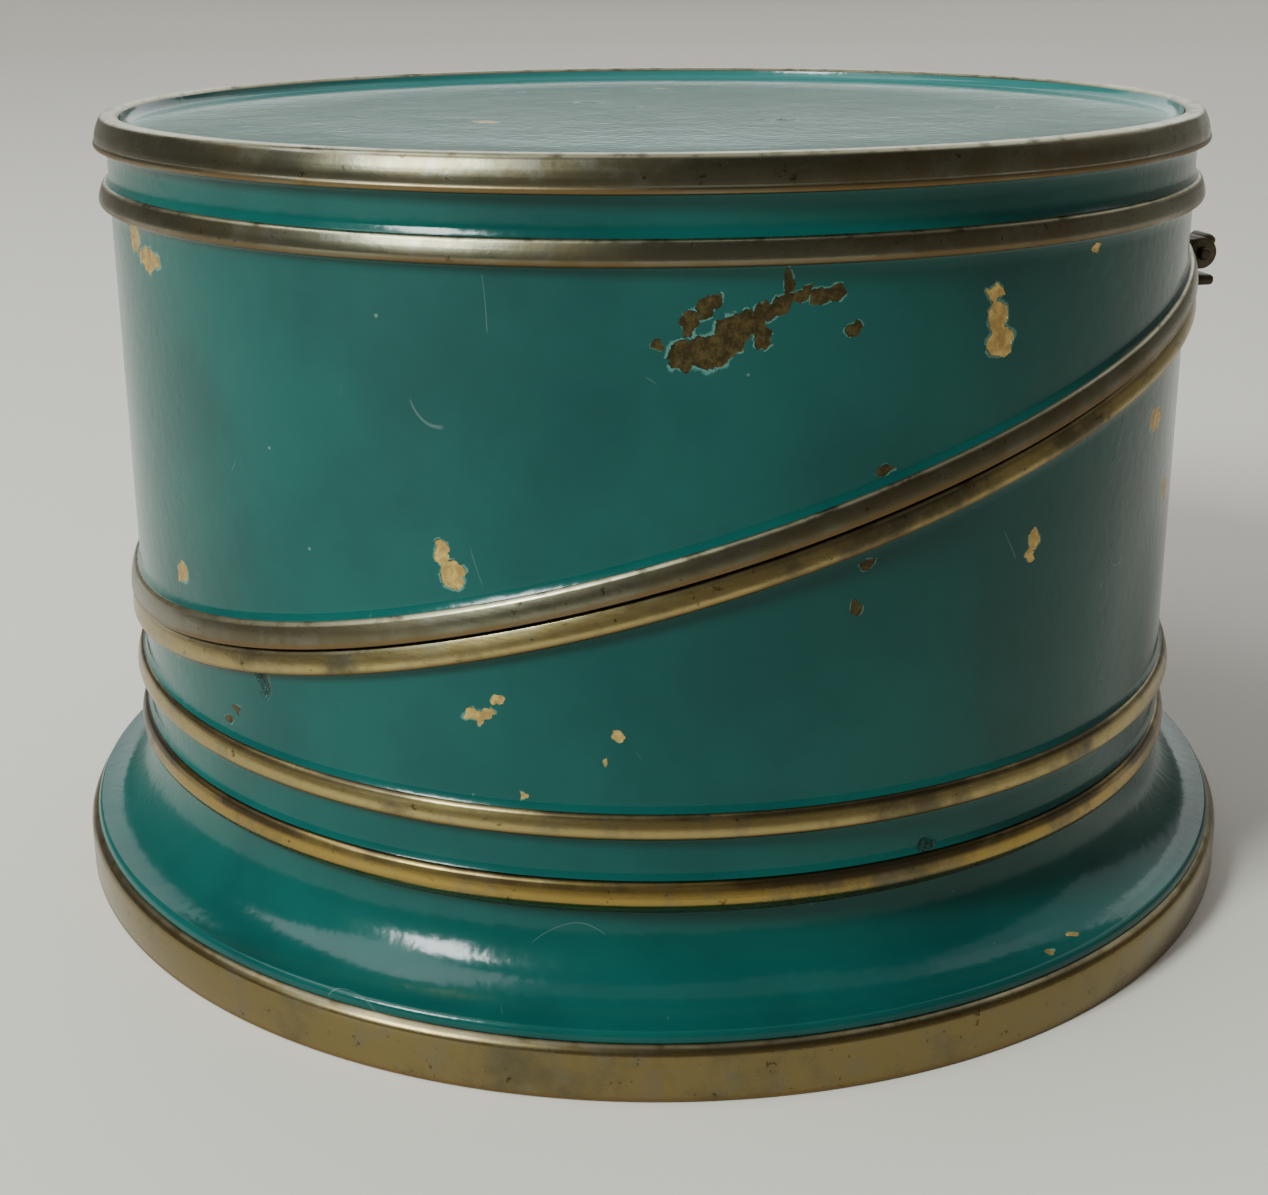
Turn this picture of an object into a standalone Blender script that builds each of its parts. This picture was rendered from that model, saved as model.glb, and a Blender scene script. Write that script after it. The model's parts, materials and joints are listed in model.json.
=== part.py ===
"""A round, footed caddy of enamelled brass whose lid parts from the body along a slanting line.

The drum is one tube cut by a slanting plane. The lid keeps the upper piece, and turns on a stop hinge
at the rear, where the cut is highest. Half-round brass wires trim the tube and both cut edges. A thin
liner stands inside the body, and its lip locates the lid. All lengths are in metres, +Z is up, +Y is
the rear, and the origin is the centre of the resting face.
"""

import math

import bmesh
import bpy
from mathutils import Matrix, Vector

MM = 0.001
GAP = 0.3 * MM  # left between pieces that are soldered or rest on each other
SEGMENTS = 64  # facets round the drum

# Drum
WALL_R = 48.6 * MM
WALL_T = 0.8 * MM
INNER_R = WALL_R - WALL_T

# Slanting cut: height at the centre line, and rise per unit of Y towards the hinge
CUT_Z = 40.8 * MM
CUT_RISE = 0.292

# Foot
FOOT_R = 55.0 * MM
BAND_H = 4.6 * MM
BAND_IN_R = 53.6 * MM
SKIRT_TOP_Z = 11.7 * MM
SKIRT_T = 0.8 * MM

# Half-round trim: bottom, height and how far each stands out of the wall
NECK_Z, NECK_H, NECK_OUT = 12.0 * MM, 2.7 * MM, 1.1 * MM
WAIST_Z = 18.5 * MM
SHOULDER_Z = 61.2 * MM
BEAD_H, BEAD_OUT = 2.0 * MM, 1.0 * MM
EDGE_BEAD_H = 2.0 * MM

# Top
RIM_Z, RIM_H = 66.2 * MM, 2.7 * MM
RIM_OUT_R, RIM_IN_R = 49.7 * MM, 47.6 * MM
PANEL_Z = 67.7 * MM  # upper face of the sunk top panel
PANEL_T = 0.7 * MM
PANEL_FLANGE = 3.0 * MM

# Liner
LINER_R = INNER_R - 0.5 * MM
LINER_T = 0.5 * MM
LINER_FLOOR_Z = 16.2 * MM
LIP_H = 2.0 * MM  # how far the liner stands above the cut

# Hinge, in the plane across its pin
HINGE_Y, HINGE_Z = 51.4 * MM, 54.1 * MM
BARREL_R = 1.5 * MM
PIN_R = 0.6 * MM
BORE_R = 0.78 * MM
KNUCKLES = 5
KNUCKLE_PITCH = 4.0 * MM
KNUCKLE_GAP = 0.3 * MM
BARREL_SIDES = 16
LEAF_HALF_W = 10.0 * MM
LEAF_T = 0.7 * MM
LEAF_H = 4.4 * MM
WEB_H = 1.3 * MM
HEEL_ANGLE = math.radians(52)  # from the outward level
HEEL_TIP, HEEL_T = 2.3 * MM, 1.0 * MM
LUG_TOP, LUG_H, LUG_REACH = -2.1 * MM, 1.0 * MM, 1.5 * MM
RIVET_X = 6.0 * MM
RIVET_HEAD_R, RIVET_HEAD_H = 1.1 * MM, 0.6 * MM
RIVET_R = 0.6 * MM
RIVET_HOLE_R = 0.9 * MM
RIVET_SIDES = 12

COLLECTION = "tea_caddy"


# ---------------------------------------------------------------- scene and materials


def clear_scene():
    for obj in list(bpy.data.objects):
        bpy.data.objects.remove(obj)


def collection(name):
    made = bpy.data.collections.new(name)
    bpy.context.scene.collection.children.link(made)
    return made


def finish(name, color, roughness, metallic):
    material = bpy.data.materials.new(name)
    material.use_nodes = True
    shader = material.node_tree.nodes["Principled BSDF"]
    shader.inputs["Base Color"].default_value = (*color, 1)
    shader.inputs["Roughness"].default_value = roughness
    shader.inputs["Metallic"].default_value = metallic
    return material


# ---------------------------------------------------------------- shaping helpers


def arc(center_r, center_z, radius_r, radius_z, start, end, steps):
    """Points (r, z) along an ellipse, from start to end in degrees, both ends included."""
    points = []
    for i in range(steps + 1):
        angle = math.radians(start + (end - start) * i / steps)
        points.append((center_r + radius_r * math.cos(angle), center_z + radius_z * math.sin(angle)))
    return points


def cut_height(y, offset=0.0):
    """Height of the slanting cut at a given y, raised by offset."""
    return CUT_Z + CUT_RISE * y + offset


def mesh_object(name, bm, material, group):
    mesh = bpy.data.meshes.new(name)
    bm.to_mesh(mesh)
    bm.free()
    obj = bpy.data.objects.new(name, mesh)
    group.objects.link(obj)
    if material:
        mesh.materials.append(material)
    return obj


def evaluated_mesh(obj):
    bpy.context.view_layer.update()
    graph = bpy.context.evaluated_depsgraph_get()
    return bpy.data.meshes.new_from_object(obj.evaluated_get(graph), depsgraph=graph)


def bake(obj):
    """Makes the modifiers' result the object's own mesh."""
    mesh = evaluated_mesh(obj)
    obj.modifiers.clear()
    obj.data = mesh
    return obj


def turned(name, profile, material, group, closed=True):
    """A profile of (r, z) points, down its outer side, turned about Z by a Screw modifier."""
    bm = bmesh.new()
    verts = [bm.verts.new((r, 0, z)) for r, z in profile]
    for a, b in zip(verts, verts[1:]):
        bm.edges.new((a, b))
    if closed:
        bm.edges.new((verts[-1], verts[0]))
    obj = mesh_object(name, bm, material, group)
    screw = obj.modifiers.new("Turn", "SCREW")
    screw.axis = "Z"
    screw.angle = 2 * math.pi
    screw.steps = screw.render_steps = SEGMENTS
    screw.use_merge_vertices = True
    screw.merge_threshold = 0.00001
    return obj


def cut_slanting(obj, offset, keep_above):
    """Trims a turned shell by the slanting plane, and closes the cut with a ring of faces."""
    normal = Vector((0, -CUT_RISE, 1)).normalized()
    bm = bmesh.new()
    bm.from_mesh(obj.data)
    bmesh.ops.bisect_plane(
        bm,
        geom=bm.verts[:] + bm.edges[:] + bm.faces[:],
        plane_co=(0, 0, CUT_Z + offset),
        plane_no=normal,
        clear_inner=keep_above,
        clear_outer=not keep_above,
    )
    rim_edges = [edge for edge in bm.edges if edge.is_boundary]
    bmesh.ops.bridge_loops(bm, edges=rim_edges)
    bmesh.ops.recalc_face_normals(bm, faces=bm.faces[:])
    bm.to_mesh(obj.data)
    bm.free()
    return obj


def slant(obj):
    """Shears a level ring so that it follows the slanting cut."""
    shear = Matrix.Identity(4)
    shear[2][1] = CUT_RISE
    obj.data.transform(shear)
    return obj


def half_round(name, bottom, height, out, material, group):
    """A ring of half-round wire whose flat back stands a gap off the drum."""
    back = WALL_R + GAP
    nose = arc(back, bottom + height / 2, WALL_R + out - back, height / 2, 90, -90, 5)
    return turned(name, nose, material, group)


def box(name, low, high, group, material=None):
    low, high = Vector(low), Vector(high)
    bm = bmesh.new()
    bmesh.ops.create_cube(bm, size=1)
    bmesh.ops.scale(bm, vec=high - low, verts=bm.verts[:])
    bmesh.ops.translate(bm, vec=(low + high) / 2, verts=bm.verts[:])
    return mesh_object(name, bm, material, group)


def rod(name, radius, start, end, sides, group, material=None):
    """A cylinder between two points."""
    start, end = Vector(start), Vector(end)
    bm = bmesh.new()
    bmesh.ops.create_cone(
        bm, cap_ends=True, segments=sides, radius1=radius, radius2=radius, depth=(end - start).length
    )
    turn = (end - start).to_track_quat("Z", "Y").to_matrix().to_4x4()
    bmesh.ops.transform(bm, matrix=Matrix.Translation((start + end) / 2) @ turn, verts=bm.verts[:])
    return mesh_object(name, bm, material, group)


def boolean(obj, other, operation):
    """Joins, cuts or intersects obj with a helper, which then stays hidden."""
    other.hide_render = True
    other.display_type = "WIRE"
    step = obj.modifiers.new(operation.title(), "BOOLEAN")
    step.operation = operation
    step.solver = "EXACT"
    step.object = other
    return obj


def smooth(obj, degrees=35):
    obj.data.shade_smooth()
    obj.data.set_sharp_from_angle(angle=math.radians(degrees))
    return obj


# ---------------------------------------------------------------- foot


def make_foot(group, brass, enamel):
    edge = 0.9 * MM
    band = arc(FOOT_R - edge, BAND_H - edge, edge, edge, 90, 0, 3)
    band += [(FOOT_R, 0), (BAND_IN_R, 0), (BAND_IN_R, BAND_H)]
    turned("foot_band", band, brass, group)

    # The skirt is a hollow curve from under the neck ring to the top of the band.
    reach = FOOT_R - edge - WALL_R + 0.9 * MM
    drop = SKIRT_TOP_Z - BAND_H - GAP - SKIRT_T
    outer = arc(FOOT_R - edge, SKIRT_TOP_Z, reach, drop, 180, 270, 6)
    inner = arc(FOOT_R - edge, SKIRT_TOP_Z, reach + SKIRT_T, drop + SKIRT_T, 270, 180, 6)
    turned("foot_skirt", outer + inner, enamel, group)

    plate_z, plate_t = 0.8 * MM, 0.8 * MM
    plate_r = BAND_IN_R - GAP
    plate = [(0, plate_z + plate_t), (plate_r, plate_z + plate_t), (plate_r, plate_z), (0, plate_z)]
    turned("foot_plate", plate, brass, group, closed=False)


# ---------------------------------------------------------------- body


def make_body(group, cutters, brass, enamel, tin):
    neck_in = WALL_R - 1.6 * MM
    neck = arc(WALL_R, NECK_Z + NECK_H / 2, NECK_OUT, NECK_H / 2, 90, -90, 6)
    turned("neck_ring", neck + [(neck_in, NECK_Z), (neck_in, NECK_Z + NECK_H)], brass, group)

    bottom = NECK_Z + NECK_H + GAP
    wall = [(WALL_R, RIM_Z), (WALL_R, bottom), (INNER_R, bottom), (INNER_R, RIM_Z)]
    drum = bake(turned("body_drum", wall, enamel, group))
    cut_slanting(drum, -GAP / 2, keep_above=False)

    half_round("waist_bead", WAIST_Z, BEAD_H, BEAD_OUT, brass, group)
    edge = half_round("body_edge_bead", -EDGE_BEAD_H, EDGE_BEAD_H, BEAD_OUT, brass, group)
    fit_edge_bead(edge, CUT_Z - GAP / 2, cutters)

    # The floor is a shallow dish, turned down inside the neck ring.
    floor_r, floor_t, flange = neck_in - GAP, 0.8 * MM, 3.4 * MM
    floor_z = bottom + floor_t
    dish = [
        (0, floor_z),
        (floor_r, floor_z),
        (floor_r, floor_z - flange),
        (floor_r - floor_t, floor_z - flange),
        (floor_r - floor_t, floor_z - floor_t),
        (0, floor_z - floor_t),
    ]
    turned("drum_floor", dish, brass, group, closed=False)

    top = RIM_Z
    cup = [
        (LINER_R, top),
        (LINER_R, LINER_FLOOR_Z),
        (0, LINER_FLOOR_Z),
        (0, LINER_FLOOR_Z + LINER_T),
        (LINER_R - LINER_T, LINER_FLOOR_Z + LINER_T),
        (LINER_R - LINER_T, top),
    ]
    liner = bake(turned("tea_liner", cup, tin, group, closed=False))
    cut_slanting(liner, LIP_H, keep_above=False)


def fit_edge_bead(bead, height, cutters):
    """Lays a level bead along the cut, and interrupts it where the hinge leaves sit."""
    bake(bead)
    slant(bead)
    bead.location.z = height
    half = LEAF_HALF_W + GAP
    gate = box(bead.name + "_gate", (-half, 0, 0), (half, FOOT_R, RIM_Z), cutters)
    boolean(bead, gate, "DIFFERENCE")


# ---------------------------------------------------------------- lid


def make_lid(group, cutters, brass, enamel):
    top = RIM_Z - GAP
    wall = [(WALL_R, top), (WALL_R, NECK_Z), (INNER_R, NECK_Z), (INNER_R, top)]
    drum = bake(turned("lid_drum", wall, enamel, group))
    cut_slanting(drum, GAP / 2, keep_above=True)

    half_round("shoulder_bead", SHOULDER_Z, BEAD_H, BEAD_OUT, brass, group)
    edge = half_round("lid_edge_bead", 0, EDGE_BEAD_H, BEAD_OUT, brass, group)
    fit_edge_bead(edge, CUT_Z + GAP / 2, cutters)

    crown = 1.2 * MM
    rim = arc(RIM_OUT_R - crown, RIM_Z + RIM_H - crown, crown, crown, 90, 0, 4)
    rim += arc(RIM_OUT_R - 0.4 * MM, RIM_Z + 0.4 * MM, 0.4 * MM, 0.4 * MM, 0, -90, 2)
    rim += [(RIM_IN_R, RIM_Z)]
    rim += arc(RIM_IN_R + 0.6 * MM, RIM_Z + RIM_H - 0.6 * MM, 0.6 * MM, 0.6 * MM, 180, 90, 2)
    turned("lid_rim", rim, brass, group)

    panel_r = RIM_IN_R - GAP
    low = PANEL_Z - PANEL_T
    panel = [
        (0, PANEL_Z),
        (panel_r, PANEL_Z),
        (panel_r, PANEL_Z - PANEL_FLANGE),
        (panel_r - PANEL_T, PANEL_Z - PANEL_FLANGE),
        (panel_r - PANEL_T, low),
        (0, low),
    ]
    turned("lid_panel", panel, enamel, group, closed=False)


# ---------------------------------------------------------------- hinge


def knuckle_span(index):
    """Start and end along X of one knuckle of the barrel."""
    middle = (index - (KNUCKLES - 1) / 2) * KNUCKLE_PITCH
    half = (KNUCKLE_PITCH - KNUCKLE_GAP) / 2
    return middle - half, middle + half


def seat_in_leaf(start, end):
    """A y that lies within the bent leaf all the way from start to end along X."""
    inner, outer = WALL_R + GAP, WALL_R + GAP + LEAF_T
    nearest = 0 if start < 0 < end else min(abs(start), abs(end))
    farthest = max(abs(start), abs(end))
    return (math.sqrt(inner**2 - nearest**2) + math.sqrt(outer**2 - farthest**2)) / 2


def make_leaf(name, indices, upward, group, cutters, metal):
    """A leaf bent to the drum, with its knuckles, their webs and the bore for the pin."""
    inner, outer = WALL_R + GAP, WALL_R + GAP + LEAF_T
    side = 1 if upward else -1
    near, far = HINGE_Z + side * 0.4 * MM, HINGE_Z + side * (BARREL_R + LEAF_H)
    low, high = sorted((near, far))
    plate = [(outer, high), (outer, low), (inner, low), (inner, high)]
    leaf = bake(turned(name, plate, metal, group))
    bite = box(name + "_bite", (-LEAF_HALF_W, 0, low - MM), (LEAF_HALF_W, FOOT_R, high + MM), cutters)
    boolean(leaf, bite, "INTERSECT")
    for index in indices:
        start, end = knuckle_span(index)
        tag = f"{name}_knuckle_{index}"
        barrel = rod(tag, BARREL_R, (start, HINGE_Y, HINGE_Z), (end, HINGE_Y, HINGE_Z), BARREL_SIDES, cutters)
        boolean(leaf, barrel, "UNION")
        web_low, web_high = sorted((HINGE_Z + side * 0.05 * MM, HINGE_Z + side * WEB_H))
        web = box(tag + "_web", (start + 0.1 * MM, seat_in_leaf(start, end), web_low), (end - 0.1 * MM, HINGE_Y, web_high), cutters)
        boolean(leaf, web, "UNION")
    return leaf


def bore_and_rivets(leaf, drum, upward, group, cutters, metal):
    """Drills the leaf for the pin, and rivets it through the drum wall."""
    far = KNUCKLES * KNUCKLE_PITCH
    bore = rod(leaf.name + "_bore", BORE_R, (-far, HINGE_Y, HINGE_Z), (far, HINGE_Y, HINGE_Z), BARREL_SIDES, cutters)
    boolean(leaf, bore, "DIFFERENCE")
    side = 1 if upward else -1
    height = HINGE_Z + side * (BARREL_R + LEAF_H / 2 + 0.7 * MM)
    prefix = "lid" if upward else "body"
    for number, x in enumerate((-RIVET_X, RIVET_X), start=1):
        outward = Vector((x, math.sqrt(WALL_R**2 - x**2), 0)).normalized()
        foot = outward * (INNER_R + 0.05 * MM) + Vector((0, 0, height))
        seat = outward * (WALL_R + 2 * GAP + LEAF_T) + Vector((0, 0, height))
        hole = rod(f"{prefix}_rivet_hole_{number}", RIVET_HOLE_R, foot - outward * MM, seat + outward * MM,
                   RIVET_SIDES, cutters)
        boolean(leaf, hole, "DIFFERENCE")
        boolean(drum, hole, "DIFFERENCE")
        make_rivet(f"{prefix}_rivet_{number}", foot, seat, outward, group, metal)


def make_rivet(name, foot, seat, outward, group, metal):
    """A round-headed rivet: its shank ends flush inside the wall, and its head stands on the leaf."""
    length = (seat - foot).length
    dome = arc(0, length, RIVET_HEAD_R, RIVET_HEAD_H, 90, 0, 3)
    rivet = turned(name, dome + [(RIVET_R, length), (RIVET_R, 0), (0, 0)], metal, group, closed=False)
    rivet.modifiers["Turn"].steps = rivet.modifiers["Turn"].render_steps = RIVET_SIDES
    rivet.rotation_mode = "QUATERNION"
    rivet.rotation_quaternion = outward.to_track_quat("Z", "Y")
    rivet.location = foot
    return rivet


def add_heels_and_lugs(lid_leaf, body_leaf, cutters):
    """The stop: a heel on each end knuckle of the lid meets a lug on the body leaf at full opening."""
    for index in (0, KNUCKLES - 1):
        start, end = knuckle_span(index)
        heel = box(f"heel_{index}", (start + 0.1 * MM, 0.3 * MM, -HEEL_T / 2), (end - 0.1 * MM, HEEL_TIP, HEEL_T / 2), cutters)
        heel.rotation_euler.x = HEEL_ANGLE
        heel.location = (0, HINGE_Y, HINGE_Z)
        boolean(lid_leaf, heel, "UNION")
        low = (start, seat_in_leaf(start, end), HINGE_Z + LUG_TOP - LUG_H)
        high = (end, HINGE_Y + LUG_REACH, HINGE_Z + LUG_TOP)
        lug = box(f"lug_{index}", low, high, cutters)
        boolean(body_leaf, lug, "UNION")


def make_hinge(group, cutters, metal):
    lid_drum, body_drum = bpy.data.objects["lid_drum"], bpy.data.objects["body_drum"]
    lid_leaf = make_leaf("lid_hinge_leaf", range(0, KNUCKLES, 2), True, group, cutters, metal)
    body_leaf = make_leaf("body_hinge_leaf", range(1, KNUCKLES, 2), False, group, cutters, metal)
    add_heels_and_lugs(lid_leaf, body_leaf, cutters)
    bore_and_rivets(lid_leaf, lid_drum, True, group, cutters, metal)
    bore_and_rivets(body_leaf, body_drum, False, group, cutters, metal)

    # The pin is a turned rod with a low dome at each end.
    half = KNUCKLES * KNUCKLE_PITCH / 2 + 0.2 * MM
    dome = 0.4 * MM
    profile = arc(0, half, PIN_R, dome, 90, 0, 3) + arc(0, -half, PIN_R, dome, 0, -90, 3)
    pin = turned("hinge_pin", profile, metal, group, closed=False)
    pin.modifiers["Turn"].steps = pin.modifiers["Turn"].render_steps = RIVET_SIDES
    pin.rotation_euler.y = math.pi / 2
    pin.location = (0, HINGE_Y, HINGE_Z)


# ---------------------------------------------------------------- all of it


def main():
    clear_scene()
    group = collection(COLLECTION)
    cutters = collection("cutters")
    brass = finish("brass", (0.42, 0.30, 0.13), 0.35, 1.0)
    enamel = finish("enamel", (0.015, 0.16, 0.14), 0.25, 0.0)
    tin = finish("tin", (0.70, 0.69, 0.66), 0.35, 1.0)
    dark = finish("hinge_metal", (0.10, 0.085, 0.065), 0.4, 1.0)
    make_foot(group, brass, enamel)
    make_body(group, cutters, brass, enamel, tin)
    make_lid(group, cutters, brass, enamel)
    make_hinge(group, cutters, dark)
    for obj in group.objects:
        smooth(obj)


main()
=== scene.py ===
# %% [markdown]
# # An enamelled tea caddy with a slanting lid
#
# This lesson dresses a finished mechanical model. The frame holds the solids, the hinge and the sizes.
# Here each plain solid is replaced by a finer piece of the same size, with a surface that looks like old
# enamel on brass. Nearly every piece is a turned ring, so one idea carries most of the lesson: draw half
# an outline, round its corners, and spin it about the drum's axis.

import json
import math

import bmesh
import bpy
from mathutils import Matrix, Vector


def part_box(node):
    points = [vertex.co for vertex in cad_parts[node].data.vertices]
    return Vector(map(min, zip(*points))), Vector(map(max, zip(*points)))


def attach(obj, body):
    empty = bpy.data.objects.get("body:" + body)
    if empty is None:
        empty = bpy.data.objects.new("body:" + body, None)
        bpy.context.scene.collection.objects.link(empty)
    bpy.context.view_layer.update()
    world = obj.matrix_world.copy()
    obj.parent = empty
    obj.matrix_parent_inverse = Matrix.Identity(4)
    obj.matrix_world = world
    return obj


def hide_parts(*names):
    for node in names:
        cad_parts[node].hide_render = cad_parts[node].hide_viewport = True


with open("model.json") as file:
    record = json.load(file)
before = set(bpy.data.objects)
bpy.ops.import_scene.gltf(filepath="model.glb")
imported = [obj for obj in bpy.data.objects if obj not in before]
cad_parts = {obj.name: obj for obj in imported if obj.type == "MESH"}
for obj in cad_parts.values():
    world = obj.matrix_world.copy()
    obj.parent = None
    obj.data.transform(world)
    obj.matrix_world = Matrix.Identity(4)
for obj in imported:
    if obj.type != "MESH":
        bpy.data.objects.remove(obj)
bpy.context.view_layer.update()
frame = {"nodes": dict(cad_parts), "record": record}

# %% [markdown]
# The frame says where everything is, so sizes are read from it and not typed again. A ring's heights come
# from its solid's box, and the hinge pin's place from the record. The slanting cut follows from two
# boxes: the body's drum reaches its highest point at the rear, and the lid's drum its lowest at the
# front, each half a gap from the cut.

# %% Read the driving sizes
MM = 0.001
GAP = 0.3 * MM


def low(node):
    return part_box(node)[0].z


def high(node):
    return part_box(node)[1].z


def outer(node):
    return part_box(node)[1].x


WALL_R = outer("lid_drum")
WALL_T = 0.8 * MM
INNER_R = WALL_R - WALL_T
CUT_Z = (high("body_drum") + low("lid_drum")) / 2
CUT_RISE = (high("body_drum") - low("lid_drum") + GAP) / (2 * WALL_R)
HINGE = Vector(frame["record"]["behaviour"]["joints"][0]["pos_m"])
print(f"wall radius {WALL_R / MM:.1f} mm, cut at {CUT_Z / MM:.1f} mm, rising {CUT_RISE:.3f} per unit of y")

# %% [markdown]
# The camera comes first, because every later choice is judged through it. It stands close to the caddy's
# right side, a little above the lid, about where someone would bend to look at it. A small shift frames
# the object without tilting its uprights.

# %% Place the camera
camera = bpy.data.objects.new("camera", bpy.data.cameras.new("camera"))
bpy.context.scene.collection.objects.link(camera)
camera.data.lens = 52.2
camera.data.shift_x = 0.020
camera.data.shift_y = -0.079
camera.location = (0.1689, -0.0369, 0.0816)
turn = Matrix.Rotation(math.radians(78.99), 4, "Z")
tip = Matrix.Rotation(math.radians(73.56), 4, "X")
roll = Matrix.Rotation(math.radians(-0.48), 4, "Z")
camera.rotation_euler = (turn @ tip @ roll).to_euler()
camera.data.clip_start = 0.01
bpy.context.scene.camera = camera
print("camera at", tuple(round(v, 3) for v in camera.location))

# %% [markdown]
# A turned ring starts as a wire outline of a few corners. Each corner may be rounded: bmesh's bevel works
# on a single vertex when its affect is VERTICES, and turns the corner into an arc. The outline is then
# spun about Z. A full turn merges its last copy with its first, so the ring closes without a seam.

# %% Draw an outline and spin it
STEPS = 288


def outline(corners, closed=True):
    """A wire loop in the XZ plane from corners of (radius, height, rounding), all in metres."""
    bm = bmesh.new()
    verts = [bm.verts.new((r, 0, z)) for r, z, _ in corners]
    pairs = list(zip(verts, verts[1:]))
    if closed:
        pairs.append((verts[-1], verts[0]))
    for pair in pairs:
        bm.edges.new(pair)
    for vert, (_, _, rounding) in zip(verts, corners):
        if rounding:
            bmesh.ops.bevel(
                bm, geom=[vert], offset=rounding, offset_type="OFFSET", affect="VERTICES",
                segments=6, profile=0.5, material=-1,
            )
    return bm


def spin_full(bm, steps=STEPS):
    bmesh.ops.spin(
        bm, geom=bm.verts[:] + bm.edges[:], cent=(0, 0, 0), axis=(0, 0, 1), dvec=(0, 0, 0),
        angle=2 * math.pi, steps=steps, use_merge=True,
    )
    bmesh.ops.remove_doubles(bm, verts=bm.verts[:], dist=1e-6)
    bmesh.ops.recalc_face_normals(bm, faces=bm.faces[:])
    return bm


print("one full turn has", STEPS, "steps")

# %% [markdown]
# Every finished piece leaves the workshop the same way: its mesh becomes an object at the origin, shaded
# smooth up to its sharp edges and riding on its body, and the solids it covers are hidden.

# %% Finish a piece
pieces = {}


def finish(name, bm, body, nodes, sharp=38):
    mesh = bpy.data.meshes.new(name)
    bm.to_mesh(mesh)
    bm.free()
    mesh.shade_smooth()
    mesh.set_sharp_from_angle(angle=math.radians(sharp))
    piece = bpy.data.objects.new(name, mesh)
    bpy.context.scene.collection.objects.link(piece)
    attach(piece, body)
    if nodes:
        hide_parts(*nodes)
    pieces[name] = piece
    print(f"{name}: {len(mesh.polygons)} faces")
    return piece


# %% [markdown]
# The foot is a brass band that stands on the table, with a green skirt that sweeps in above it. The band
# is a plain rectangle in section whose top edge has been rubbed round. The skirt is a hollow curve that
# ends in a soft roll, so its outline has one corner with a large rounding for the hollow and one with a
# small rounding for the roll. The same hollow is drawn again a sheet's thickness further in.

# %% Turn the foot
BAND_R = outer("foot_band")
BAND_TOP = high("foot_band")
SKIRT_TOP = high("foot_skirt")


def foot_band():
    inside = BAND_R - 1.4 * MM
    corners = [
        (inside, 0, 0),
        (BAND_R, 0, 0.25 * MM),
        (BAND_R, BAND_TOP, 1.0 * MM),
        (inside, BAND_TOP, 0),
    ]
    return spin_full(outline(corners))


def foot_skirt():
    waist = WALL_R - 0.9 * MM
    edge = BAND_R - 0.7 * MM
    wall = 0.8 * MM
    lip = BAND_TOP - 0.04 * MM
    top = SKIRT_TOP + 0.3 * MM
    corners = [
        (waist, top, 0),
        (waist, lip + 0.9 * MM, 6.1 * MM),
        (edge, lip + 0.9 * MM, 0.65 * MM),
        (edge, lip, 0.1 * MM),
        (edge - wall, lip, 0),
        (waist - wall, lip + 0.15 * MM, 6.1 * MM),
        (waist - wall, top, 0),
    ]
    return spin_full(outline(corners))


finish("foot_band_trim", foot_band(), "body", ["foot_band"])
finish("foot_skirt_enamel", foot_skirt(), "body", ["foot_skirt"], sharp=60)

# %% [markdown]
# The plate that closes the foot is a spun disc, pressed with one shallow step, which keeps thin sheet flat.
# It is what a hand meets when the caddy is turned over.

# %% Close the foot from below


def foot_plate():
    edge = outer("foot_plate")
    base, top = low("foot_plate"), high("foot_plate")
    step, depth = 0.62 * edge, 0.5 * MM
    corners = [
        (0, base + depth, 0),
        (step, base + depth, 0.6 * MM),
        (step + 1.5 * MM, base, 0.6 * MM),
        (edge, base, 0.15 * MM),
        (edge, top, 0.15 * MM),
        (step + 1.5 * MM, top, 0.6 * MM),
        (step, top + depth, 0.6 * MM),
        (0, top + depth, 0),
    ]
    return spin_full(outline(corners, closed=False), steps=192)


finish("foot_plate_disc", foot_plate(), "body", ["foot_plate"])

# %% [markdown]
# The trim is half-round wire, and the ring at the neck is heavier and slopes in below its crest. All of
# them lie level except the two along the cut. A slanting ring is a level one with its height sheared, so
# that z grows with y. The two slanting wires also stop short of the hinge leaves, so their section is
# spun through less than a full turn, and the section's face is kept at both ends as a cap.

# %% Turn the wires
WIRE_OUT = outer("waist_bead") - WALL_R
LEAF_HALF_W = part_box("lid_hinge_leaf")[1].x


def wire_section(bottom, top, under=0.50 * MM, over=0.30 * MM):
    """A flattened half round that leans in towards its top, with its lower and upper edges rounded."""
    crest = WALL_R + WIRE_OUT
    back = WALL_R - 0.1 * MM
    tall = top - bottom
    corners = [
        (back, bottom, 0),
        (crest, bottom, under),
        (crest, bottom + 0.42 * tall, 0.5 * MM),
        (crest - 0.42 * MM, top, over),
        (back, top, 0),
    ]
    return outline(corners)


def neck_ring():
    crest, inside = outer("neck_ring"), WALL_R - 1.6 * MM
    top, bottom = high("neck_ring") + 0.25 * MM, low("neck_ring")
    corners = [
        (inside, bottom, 0),
        (WALL_R - 0.3 * MM, bottom, 0.15 * MM),
        (crest, bottom + 1.2 * MM, 0.6 * MM),
        (crest - 0.5 * MM, top, 0.35 * MM),
        (inside, top, 0),
    ]
    return spin_full(outline(corners))


def slant(bm):
    shear = Matrix.Identity(4)
    shear[2][1] = CUT_RISE
    bmesh.ops.transform(bm, matrix=shear, verts=bm.verts[:])
    return bm


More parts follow.
